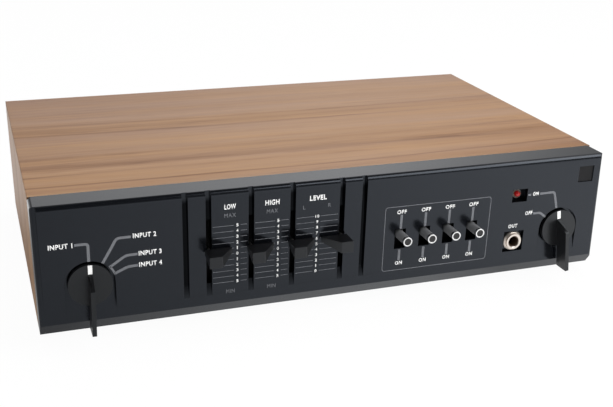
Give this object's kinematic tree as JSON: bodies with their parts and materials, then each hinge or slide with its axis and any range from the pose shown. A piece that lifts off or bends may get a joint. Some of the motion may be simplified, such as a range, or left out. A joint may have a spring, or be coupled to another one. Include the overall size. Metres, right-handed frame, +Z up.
{
  "type": "stereo amplifier",
  "caption": "Low stereo amplifier: wood veneer sleeve, moulded black fascia with slide controls, slide switches, bladed rotary controls, lamp and headphone jack",
  "frame": {"origin": "on the table under the middle of the overall box", "axes": "+X to the right along the front, +Y from the front to the back, +Z up"},
  "size_m": [0.36, 0.242, 0.0855],
  "materials": {
    "veneer": "satin veneer",
    "batten_wood": "raw softwood",
    "fascia_black": "satin moulded black",
    "knob_black": "satin moulded black",
    "mark_white": "white inlay",
    "sheet_steel": "zinc plated sheet",
    "screw_steel": "zinc plated",
    "panel_grey": "matt dark paint",
    "rubber_black": "moulded rubber",
    "bright_ring": "polished",
    "jack_metal": "nickel plated",
    "lamp_red": "tinted lens",
    "collar_brown": "moulded collar",
    "core_iron": "varnished laminations",
    "coil_copper": "varnished winding",
    "board_brown": "paper laminate",
    "can_blue": "sleeved can",
    "sink_alloy": "extruded",
    "socket_black": "moulded",
    "socket_bright": "nickel plated",
    "standoff_white": "moulded"
  },
  "bodies": {
    "cabinet": {"cabinet_top": "veneer", "cabinet_side_left": "veneer", "cabinet_side_right": "veneer", "side_battens": "batten_wood", "chassis_tray": "sheet_steel", "rear_panel": "panel_grey", "fascia": "fascia_black", "control_bracket": "sheet_steel", "feet": "rubber_black", "foot_screws": "screw_steel", "base_screws": "screw_steel", "panel_screws": "screw_steel", "mains_grommet": "rubber_black", "fuse_holder": "socket_black", "socket_strip": "board_brown", "input_sockets": "socket_bright", "speaker_sockets": "socket_black", "transformer_core": "core_iron", "transformer_coil": "coil_copper", "transformer_clamp": "sheet_steel", "smoothing_capacitor": "can_blue", "capacitor_clip": "sheet_steel", "amplifier_board": "board_brown", "board_standoffs": "standoff_white", "board_capacitors": "can_blue", "heatsink": "sink_alloy", "power_transistors": "socket_black", "slide_pots": "sheet_steel", "slide_switches": "socket_black", "source_switch": "board_brown", "power_switch": "socket_black", "switch_nuts": "screw_steel", "headphone_jack": "jack_metal", "jack_nut": "jack_metal", "power_lamp": "lamp_red", "lamp_holder": "collar_brown"},
    "source_control": {"source_knob": "knob_black", "source_pointer": "mark_white", "source_shaft": "screw_steel"},
    "power_control": {"power_knob": "knob_black", "power_pointer": "mark_white", "power_shaft": "screw_steel"},
    "bass_slider": {"bass_knob": "knob_black", "bass_tang": "screw_steel"},
    "treble_slider": {"treble_knob": "knob_black", "treble_tang": "screw_steel"},
    "volume_left_slider": {"volume_left_knob": "knob_black", "volume_left_tang": "screw_steel"},
    "volume_right_slider": {"volume_right_knob": "knob_black", "volume_right_tang": "screw_steel"},
    "stereo_switch": {"stereo_lever": "knob_black", "stereo_ring": "bright_ring"},
    "loudness_switch": {"loudness_lever": "knob_black", "loudness_ring": "bright_ring"},
    "rumble_switch": {"rumble_lever": "knob_black", "rumble_ring": "bright_ring"},
    "scratch_switch": {"scratch_lever": "knob_black", "scratch_ring": "bright_ring"}
  },
  "joints": [
    {"name": "source_turn", "type": "hinge", "parent": "cabinet", "child": "source_control", "pos_m": [-0.151, -0.1055, 0.0369], "axis": [0, 1, 0], "range_deg": [0, 67.5]},
    {"name": "power_turn", "type": "hinge", "parent": "cabinet", "child": "power_control", "pos_m": [0.1505, -0.1055, 0.0369], "axis": [0, 1, 0], "range_deg": [-45, 0]},
    {"name": "bass_slide", "type": "slide", "parent": "cabinet", "child": "bass_slider", "axis": [0, 0, 1], "range_m": [-0.02025, 0.01725]},
    {"name": "treble_slide", "type": "slide", "parent": "cabinet", "child": "treble_slider", "axis": [0, 0, 1], "range_m": [-0.02025, 0.01725]},
    {"name": "volume_left_slide", "type": "slide", "parent": "cabinet", "child": "volume_left_slider", "axis": [0, 0, 1], "range_m": [-0.02025, 0.01725]},
    {"name": "volume_right_slide", "type": "slide", "parent": "cabinet", "child": "volume_right_slider", "axis": [0, 0, 1], "range_m": [-0.02025, 0.01725]},
    {"name": "stereo_slide", "type": "slide", "parent": "cabinet", "child": "stereo_switch", "axis": [0, 0, 1], "range_m": [-0.0053, 0]},
    {"name": "loudness_slide", "type": "slide", "parent": "cabinet", "child": "loudness_switch", "axis": [0, 0, 1], "range_m": [-0.0053, 0]},
    {"name": "rumble_slide", "type": "slide", "parent": "cabinet", "child": "rumble_switch", "axis": [0, 0, 1], "range_m": [-0.0053, 0]},
    {"name": "scratch_slide", "type": "slide", "parent": "cabinet", "child": "scratch_switch", "axis": [0, 0, 1], "range_m": [-0.0053, 0]}
  ]
}
